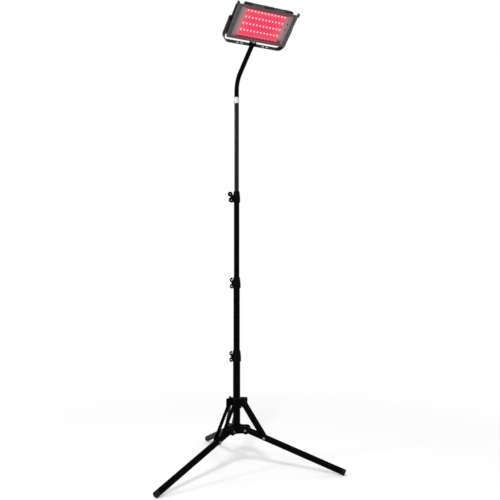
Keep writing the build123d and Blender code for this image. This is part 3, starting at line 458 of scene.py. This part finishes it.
def housing_material():
    """Black powder coat, greyer on the vented block along its top."""
    dark_black = (0.006, 0.0058, 0.006)
    light_black = (0.012, 0.0115, 0.012)
    dark_grey = (0.022, 0.018, 0.0195)
    light_grey = (0.05, 0.041, 0.044)
    shader = Shader("housing_black")
    _, along, _ = shader.head_place()
    top = shader.ramp(along, block_top - 3.0 * MM, block_top - 1.0 * MM)
    patches = shader.noise(60.0, 3.0)
    plain = shader.mix(patches, dark_black, light_black)
    grey = shader.mix(patches, dark_grey, light_grey)
    shader.principled(
        {"Specular IOR Level": 0.06},
        Base_Color=shader.mix(top, plain, grey),
        Roughness=shader.ramp(patches, 0.3, 0.7, 0.38, 0.5),
        Normal=shader.bump(shader.noise(1900.0), 0.35, 0.05 * MM),
    )
    return shader.material


reflector_grey = reflector_material()
bezel_grey = bezel_material()
housing_black = housing_material()

# ---- Finish of each CAD node ----
node_materials = {
    tube_black: ["bottom_tube", "second_tube", "third_tube"],
    top_tube_black: ["top_tube"],
    leg_black: [f"{name}_{index}" for name in ("leg_tube", "strut_straps") for index in (1, 2, 3)],
    clamp_black: [
        "lower_hub", "sliding_collar", "lower_clamp", "middle_clamp", "upper_clamp", "collar_knob",
        "lower_clamp_knob", "middle_clamp_knob", "upper_clamp_knob", "leg_plug_1", "leg_plug_2",
        "leg_plug_3", "base_plug", "cable_gland", "rocker_switch", "swivel_nut", "collar_rivets",
    ],
    guide_plastic: ["collar_bush", "second_guide_ring", "third_guide_ring", "top_guide_ring"],
    zinc_steel: ["leg_pin_1", "leg_pin_2", "leg_pin_3"],
    bright_steel: ["swivel_bolt"],
    bolt_steel: ["hinge_bolts", "strut_rivets_1", "strut_rivets_2", "strut_rivets_3"],
    foot_rubber: ["leg_foot_1", "leg_foot_2", "leg_foot_3"],
    ferrule_silver: ["neck_ferrule"],
    neck_black: [name for name in nodes if name.startswith("neck_link")] + ["neck_base", "neck_tip"],
    head_black: ["driver_box", "tilt_screws"],
    housing_black: ["housing"],
    yoke_black: ["yoke"],
    bezel_grey: ["bezel"],
    reflector_grey: ["reflector"],
    board_red: ["led_board"],
    led_lens: ["red_leds"],
    led_infrared: ["infrared_leds"],
}
for finish, names in node_materials.items():
    for name in names:
        nodes[name].data.materials.clear()
        nodes[name].data.materials.append(finish)


# ---- Mesh helpers ----
def new_piece(name, mesh_data, finish, smooth_angle=radians(35)):
    """Object from a finished bmesh, shaded smooth up to an angle."""
    bmesh.ops.recalc_face_normals(mesh_data, faces=mesh_data.faces)
    mesh = bpy.data.meshes.new(name)
    mesh_data.to_mesh(mesh)
    mesh_data.free()
    piece = bpy.data.objects.new(name, mesh)
    scene.collection.objects.link(piece)
    mesh.materials.append(finish)
    mesh.shade_smooth()
    mesh.set_sharp_from_angle(angle=smooth_angle)
    return piece


def head_piece(name, mesh_data, finish, smooth_angle=radians(35)):
    """Piece that rides on the lamp head."""
    piece = new_piece(name, mesh_data, finish, smooth_angle)
    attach(piece, "head")
    return piece


def frame_at(origin, forward, sideways):
    """Matrix whose local z is forward and local x as near sideways as it can be."""
    z = forward.normalized()
    x = (sideways - z * sideways.dot(z)).normalized()
    y = z.cross(x)
    rows = [(x[axis], y[axis], z[axis], origin[axis]) for axis in range(3)]
    return Matrix((*rows, (0, 0, 0, 1)))


def add_ring(mesh_data, place, radius, height, segments):
    """Corners of a circle about the place's local z."""
    turns = [2 * pi * index / segments for index in range(segments)]
    corners = [Vector((radius * cos(turn), radius * sin(turn), height)) for turn in turns]
    return [mesh_data.verts.new(place @ corner) for corner in corners]


def join_rings(mesh_data, rings):
    """Closed solid through rings that have the same number of corners."""
    for lower, upper in zip(rings, rings[1:]):
        for index in range(len(lower)):
            after = (index + 1) % len(lower)
            mesh_data.faces.new((lower[index], lower[after], upper[after], upper[index]))
    mesh_data.faces.new(rings[0])
    mesh_data.faces.new(list(reversed(rings[-1])))


def add_turned(mesh_data, profile, place, segments=24):
    """Solid of revolution about the place's local z, from (radius, height) points."""
    rings = [add_ring(mesh_data, place, radius, height, segments) for radius, height in profile]
    join_rings(mesh_data, rings)


def break_edges(mesh_data, edges, width):
    bmesh.ops.bevel(mesh_data, geom=edges, offset=width, segments=2, affect="EDGES")


def add_block(mesh_data, size, place, edge):
    """Box about the place's origin with broken edges."""
    made = bmesh.ops.create_cube(mesh_data, size=1.0, matrix=place @ Matrix.Diagonal((*size, 1.0)))
    break_edges(mesh_data, list({e for v in made["verts"] for e in v.link_edges}), edge)


# ---- Gooseneck: one ribbed hose in pieces, each round one joint's place ----
knuckles = 3  # joints that share the bend, with as many on the straight beyond it
neck_r = 8.0 * MM
rib_pitch = 2.8 * MM
rib_depth = 0.55 * MM
rings_per_rib = 6
hose_segments = 32
plain_end = 7.0 * MM  # hose without ribs at each end
hose_start = 0.3 * MM  # above the neck's foot

neck_joints = ["neck_bend_1", "neck_bend_2", "neck_bend_3", "neck_reach_1", "neck_reach_2", "neck_reach_3"]
neck_foot = Vector(joints["neck_turn"]["pos_m"])
neck_head = Vector(joints["yoke_turn"]["pos_m"])
hinges = [Vector(joints[name]["pos_m"]) for name in neck_joints]
bend_angle = acos(UP.dot(head_y))
hinge_turn = bend_angle / knuckles
bend_radius = (hinges[1] - hinges[0]).length / (2 * tan(hinge_turn / 2))
half_run = bend_radius * tan(hinge_turn / 2)
bend_length = bend_radius * bend_angle
upright_length = hinges[0].z - neck_foot.z - half_run
last_knuckle = hinges[knuckles - 1]
straight_length = (neck_head - last_knuckle).length - half_run
hose_length = upright_length + bend_length + straight_length
lean_side = (head_y - UP * head_y.dot(UP)).normalized()
bend_centre = neck_foot + UP * upright_length + lean_side * bend_radius


def neck_at(distance):
    """Point and direction on the hose's middle line, at a distance from its foot."""
    if distance <= upright_length:
        return neck_foot + UP * distance, UP
    turn = min((distance - upright_length) / bend_radius, bend_angle)
    point = bend_centre - lean_side * bend_radius * cos(turn) + UP * bend_radius * sin(turn)
    direction = UP * cos(turn) + lean_side * sin(turn)
    beyond = max(distance - upright_length - bend_length, 0)
    return point + direction * beyond, direction


def hose_radius(distance):
    if distance < plain_end or distance > hose_length - plain_end:
        return neck_r
    return neck_r - rib_depth * (0.5 - 0.5 * cos(2 * pi * distance / rib_pitch))


def hose_mesh(start, end):
    """Closed stretch of the hose between two distances from its foot."""
    hose = bmesh.new()
    count = ceil((end - start) / rib_pitch * rings_per_rib)
    rings = []
    for step in range(count + 1):
        distance = start + (end - start) * step / count
        place = frame_at(*neck_at(distance), head_x)
        rings.append(add_ring(hose, place, hose_radius(distance), 0, hose_segments))
    join_rings(hose, rings)
    return hose


bend_end = upright_length + bend_length
hinge_places = [upright_length + bend_length * (index + 0.5) / knuckles for index in range(knuckles)]
hinge_places += [bend_end - half_run + (hinge - last_knuckle).length for hinge in hinges[knuckles:]]
hose_middles = [(low + high) / 2 for low, high in zip(hinge_places, hinge_places[1:])]
splits = [hose_start, *hose_middles, hose_length]
last_piece = len(neck_joints) - 1
hose_nodes = ["neck_base", *(f"neck_link_{index}" for index in range(1, len(neck_joints))), "neck_tip"]
for index, (start, end) in enumerate(zip(splits, splits[1:])):
    piece = new_piece(f"neck_hose_{index + 1}", hose_mesh(start, end), neck_black, radians(50))
    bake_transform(piece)
    stands_for = hose_nodes[index:] if index == last_piece else [hose_nodes[index]]
    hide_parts(*stands_for)

# ---- Lamps on the board: a square base with a domed lens ----
base_height = 1.0 * MM
base_edge = 0.3 * MM
red_lens_r = 2.1 * MM
infrared_lens_r = 1.6 * MM
dome_angles = (0, 20, 40, 60, 78)  # degrees up the dome
lens_segments = 16


def add_lamp(mesh_data, x, y, front, lens_r):
    """Square base, and a lens that starts inside it and nearly reaches the front."""
    place = frame_at(head_point(x, y, board_face), head_z, head_x)
    base_place = place @ Matrix.Translation((0, 0, base_height / 2))
    add_block(mesh_data, (led_base, led_base, base_height), base_place, base_edge)
    dome = front - board_face - base_height
    profile = [(lens_r, 0.8 * base_height)]
    for angle in dome_angles:
        profile.append((lens_r * cos(radians(angle)), base_height + dome * sin(radians(angle))))
    add_turned(mesh_data, profile, place, lens_segments)


def add_lamps(name, node, finish, rows, shift, front, lens_r):
    """One piece with every lamp of a grid, whose rows start higher by a share of their pitch."""
    lamps = bmesh.new()
    for row in range(rows):
        for column_number in range(led_columns):
            x = first_column + column_number * led_pitch_x
            y = first_row + (row + shift) * led_pitch_y
            add_lamp(lamps, x, y, front, lens_r)
    piece = head_piece(name, lamps, finish, radians(40))
    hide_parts(node)


add_lamps("red_lamps", "red_leds", led_lens, led_rows, 0.0, led_front, red_lens_r)
add_lamps(
    "infrared_lamps", "infrared_leds", led_infrared,
    led_rows - 1, 0.5, infrared_front, infrared_lens_r,
)

# ---- Housing's vented block: three raised pads, and fins between the slots ----
block_front = bezel_front - 5.0 * MM
block_back = block_front - 11.0 * MM
block_middle = (block_front + block_back) / 2
block_half_front = 93.5 * MM
block_half_back = 88.0 * MM
slot_pitch = 3.4 * MM
slot_group_middle = 40.0 * MM
slot_group_half = 21.5 * MM
pad_inner = slot_group_middle + slot_group_half
middle_half = slot_group_middle - slot_group_half
pad_front = block_front - 0.4 * MM
pad_back = block_back + 0.4 * MM
pad_rise = 5.4 * MM
pad_edge = 0.8 * MM
fin_rows = 4
fin_rise = 4.4 * MM
fin_width = 1.0 * MM
fin_edge = 0.25 * MM
fin_overlap = 1.0 * MM  # into the pads at both ends


def block_half(depth):
    """Half width of the vented block at a depth."""
    share = (block_front - depth) / (block_front - block_back)
    return block_half_front + (block_half_back - block_half_front) * share


def add_prism(mesh_data, outline, rise, edge):
    """Solid on the vented block's top, from (x, z) corners, with broken edges."""
    heights = (block_top, block_top + rise)
    rings = [[mesh_data.verts.new(head_point(x, height, z)) for x, z in outline] for height in heights]
    join_rings(mesh_data, rings)
    break_edges(mesh_data, list({e for ring in rings for v in ring for e in v.link_edges}), edge)


pads = bmesh.new()
fins = bmesh.new()
for side in (-1, 1):
    outline = [
        (side * pad_inner, pad_front),
        (side * block_half(pad_front), pad_front),
        (side * block_half(pad_back), pad_back),
        (side * pad_inner, pad_back),
    ]
    add_prism(pads, outline, pad_rise, pad_edge)
    fin_inner = side * (middle_half - fin_overlap)
    fin_outer = side * (pad_inner + fin_overlap)
    for row in range(fin_rows):
        depth = block_middle + (row - (fin_rows - 1) / 2) * slot_pitch
        low = depth - fin_width / 2
        high = depth + fin_width / 2
        outline = [(fin_inner, low), (fin_outer, low), (fin_outer, high), (fin_inner, high)]
        add_prism(fins, outline, fin_rise, fin_edge)
outline = [
    (-middle_half, pad_front),
    (middle_half, pad_front),
    (middle_half, pad_back),
    (-middle_half, pad_back),
]
add_prism(pads, outline, pad_rise, pad_edge)
head_piece("vent_pads", pads, housing_black)
head_piece("vent_fins", fins, fin_painted_light)


# ---- Screws on the reflector and the bezel ----
def add_screw(mesh_data, place, radius, height):
    """Pan head about the place's local z, with a round driver recess."""
    recess = 0.42 * radius
    profile = [
        (radius, -0.2 * height),
        (radius, 0.35 * height),
        (0.86 * radius, 0.75 * height),
        (0.6 * radius, height),
        (recess, height),
        (0.9 * recess, 0.35 * height),
    ]
    add_turned(mesh_data, profile, place)


def screw_group(name, points, outward, radius, height, finish):
    """One piece holding like screws that face the same way."""
    heads = bmesh.new()
    for point in points:
        add_screw(heads, frame_at(point, outward, head_x), radius, height)
    head_piece(name, heads, finish)


def four_corners(x, y, depth):
    """Points on both sides of the tilt axis's middle, each below and above it."""
    return [head_point(side * x, end * y, depth) for side in (-1, 1) for end in (-1, 1)]


plate_inner = board_right - 0.8 * MM  # right plate's edge at the board
plate_outer_z = bezel_front - 2.0 * MM
plate_run = opening_side - plate_inner
plate_rise = plate_outer_z - board_face
plate_normal = (head_z * plate_run - head_x * plate_rise).normalized()
plate_screw_x = 87.7 * MM
plate_screw_z = board_face + plate_rise * (plate_screw_x - plate_inner) / plate_run
plate_screw_heights = (20.8 * MM, -0.1 * MM)
plate_points = [head_point(plate_screw_x, y, plate_screw_z) for y in plate_screw_heights]
screw_group("plate_screws", plate_points, plate_normal, 2.0 * MM, 0.9 * MM, clamp_black)
lip_middle = (opening_side + bezel_side) / 2
lip_points = [head_point(side * lip_middle, 0, bezel_front) for side in (-1, 1)]
screw_group("bezel_screws", lip_points, head_z, 1.9 * MM, 0.8 * MM, bolt_steel)

# ---- Driver box's lid, and the screws in it and in the housing's back ----
driver_right = head_span("driver_box", head_x)[1]
driver_bottom, driver_top = head_span("driver_box", head_y)
driver_back = head_span("driver_box", head_z)[0]
lid_inset = 5.0 * MM
lid_rise = 1.2 * MM
lid_sink = 0.4 * MM
lid_corner_r = 4.0 * MM
lid_corner_steps = 6
lid_screw_inset = lid_inset + 5.0 * MM
lid_screw_x = driver_right - lid_screw_inset
lid_screw_y = driver_top - lid_screw_inset
back_screw_x = bezel_side - 12.0 * MM
back_screw_y = bezel_top - 21.0 * MM


def add_lid_ring(mesh_data, inset, depth):
    """Rounded rectangle within the driver box's back, smaller by the inset all round."""
    corner_r = lid_corner_r + lid_inset - inset
    half_width = driver_right - inset
    low = driver_bottom + inset
    high = driver_top - inset
    ring = []
    for quarter, (x, y) in enumerate(((1, 1), (-1, 1), (-1, -1), (1, -1))):
        centre_x = x * (half_width - corner_r)
        centre_y = high - corner_r if y > 0 else low + corner_r
        for step in range(lid_corner_steps + 1):
            turn = pi / 2 * (quarter + step / lid_corner_steps)
            point = head_point(centre_x + corner_r * cos(turn), centre_y + corner_r * sin(turn), depth)
            ring.append(mesh_data.verts.new(point))
    return ring


lid = bmesh.new()
lid_foot = add_lid_ring(lid, lid_inset, driver_back + lid_sink)
lid_side = add_lid_ring(lid, lid_inset, driver_back - 0.5 * lid_rise)
lid_face = add_lid_ring(lid, lid_inset + lid_rise, driver_back - lid_rise)
join_rings(lid, [lid_foot, lid_side, lid_face])
head_piece("driver_lid", lid, head_black)
lid_points = four_corners(lid_screw_x, lid_screw_y, driver_back - lid_rise)
screw_group("lid_screws", lid_points, -head_z, 2.2 * MM, 1.1 * MM, bolt_steel)
back_points = four_corners(back_screw_x, back_screw_y, housing_back)
screw_group("housing_screws", back_points, -head_z, 2.4 * MM, 1.2 * MM, bolt_steel)

# ---- Ribs round the gland's cap ----
gland_rib_count = 14
gland_rib_size = (0.9 * MM, 4.0 * MM, 1.0 * MM)
gland_rib_edge = 0.2 * MM
gland_cap_r = 6.6 * MM
gland_x = sum(head_span("cable_gland", head_x)) / 2
gland_y = head_span("cable_gland", head_y)[0] + 4.4 * MM
gland_z = sum(head_span("cable_gland", head_z)) / 2
gland_ribs = bmesh.new()
for index in range(gland_rib_count):
    turn = 2 * pi * index / gland_rib_count
    outward = head_x * cos(turn) + head_z * sin(turn)
    middle = head_point(gland_x, gland_y, gland_z) + outward * gland_cap_r
    add_block(gland_ribs, gland_rib_size, frame_at(middle, outward, head_y.cross(outward)), gland_rib_edge)
head_piece("gland_ribs", gland_ribs, clamp_black)

# ---- Camera ----
camera_distance = 2.366
camera_height = 0.7535
camera_azimuth = radians(10.78)
camera_side = 0.046
camera_lens = 49.5  # focal length in millimetres, as Blender takes it
sensor_width = 36.0
looking = Vector((-sin(camera_azimuth), cos(camera_azimuth), 0))
rightward = Vector((cos(camera_azimuth), sin(camera_azimuth), 0))

camera_data = bpy.data.cameras.new("camera")
camera_data.lens = camera_lens
camera_data.sensor_width = sensor_width
camera = bpy.data.objects.new("camera", camera_data)
camera.location = column - looking * camera_distance + rightward * camera_side + UP * camera_height
camera.rotation_mode = "QUATERNION"
camera.rotation_quaternion = looking.to_track_quat("-Z", "Y")
scene.collection.objects.link(camera)
scene.camera = camera


# ---- World: plain white where it is seen, softer where it lights ----
def seen_directly(tree):
    """1 for rays that should find the plain white background."""
    path = tree.nodes.new("ShaderNodeLightPath")
    seen = path.outputs["Is Camera Ray"]
    for ray in ("Is Glossy Ray", "Is Transmission Ray"):
        either = tree.nodes.new("ShaderNodeMath")
        either.operation = "MAXIMUM"
        tree.links.new(seen, either.inputs[0])
        tree.links.new(path.outputs[ray], either.inputs[1])
        seen = either.outputs[0]
    return seen


ambient = 0.5
world = bpy.data.worlds.new("studio")
world.use_nodes = True
scene.world = world
tree = world.node_tree
tree.nodes.clear()
backdrop = tree.nodes.new("ShaderNodeBackground")
backdrop.inputs["Color"].default_value = (1, 1, 1, 1)
backdrop.inputs["Strength"].default_value = 1.0
soft = tree.nodes.new("ShaderNodeBackground")
soft.inputs["Color"].default_value = (0.98, 0.99, 1, 1)
soft.inputs["Strength"].default_value = ambient
choice = tree.nodes.new("ShaderNodeMixShader")
tree.links.new(seen_directly(tree), choice.inputs[0])
tree.links.new(soft.outputs[0], choice.inputs[1])
tree.links.new(backdrop.outputs[0], choice.inputs[2])
world_output = tree.nodes.new("ShaderNodeOutputWorld")
tree.links.new(choice.outputs[0], world_output.inputs["Surface"])

# ---- Floor: pale, takes the shadow near the lamp, and runs into the white background farther out ----
floor_reach = 14.0
shadow_reach = (0.75, 1.5)
floor_lift = 0.28
floor_shader = Shader("floor_pale")
spread = floor_shader.ramp(floor_shader.vector("LENGTH", floor_shader.position), *shadow_reach)
pale = floor_shader.mix(floor_shader.noise(40.0, 3.0), (0.78, 0.78, 0.78), (0.8, 0.8, 0.8))
diffuse = floor_shader.add("ShaderNodeBsdfDiffuse", None, Color=pale)
seen = seen_directly(floor_shader.tree)
lift_strength = floor_shader.math("MULTIPLY", seen, floor_lift)
lift = floor_shader.add("ShaderNodeEmission", None, Strength=lift_strength)
lit = floor_shader.add("ShaderNodeAddShader")
floor_shader.tree.links.new(diffuse.outputs[0], lit.inputs[0])
floor_shader.tree.links.new(lift.outputs[0], lit.inputs[1])
white_strength = floor_shader.math("MAXIMUM", seen, ambient)
white = floor_shader.add("ShaderNodeEmission", None, Strength=white_strength)
blend = floor_shader.add("ShaderNodeMixShader", None, Fac=spread)
floor_shader.tree.links.new(lit.outputs[0], blend.inputs[1])
floor_shader.tree.links.new(white.outputs[0], blend.inputs[2])
floor_shader.surface(blend.outputs[0])
floor_mesh = bpy.data.meshes.new("floor")
floor_level = cad_box[0][2]
floor_signs = [(-1, -1), (1, -1), (1, 1), (-1, 1)]
floor_corners = [(floor_reach * x, floor_reach * y, floor_level) for x, y in floor_signs]
floor_mesh.from_pydata(floor_corners, [], [(0, 1, 2, 3)])
floor_mesh.materials.append(floor_shader.material)
floor = bpy.data.objects.new("floor", floor_mesh)
scene.collection.objects.link(floor)


# ---- Studio lamps ----
def area_lamp(name, side, ahead, height, size, power, aim_height=0.75):
    """Square soft lamp aimed at the column, placed from the camera's point of view."""
    data = bpy.data.lights.new(name, "AREA")
    data.size = size
    data.energy = power
    lamp = bpy.data.objects.new(name, data)
    lamp.location = column + rightward * side - looking * ahead + UP * height
    aim = column + UP * aim_height - lamp.location
    lamp.rotation_mode = "QUATERNION"
    lamp.rotation_quaternion = aim.to_track_quat("-Z", "Y")
    scene.collection.objects.link(lamp)


area_lamp("key", -0.4, 3.15, 3.25, 0.5, 84.0, aim_height=0.3)
area_lamp("left", -2.3, 1.1, 1.75, 0.4, 14.0)
area_lamp("fill", 2.2, 2.0, 1.8, 1.6, 9.0)
area_lamp("back", 0.4, -2.4, 2.6, 1.4, 12.0)
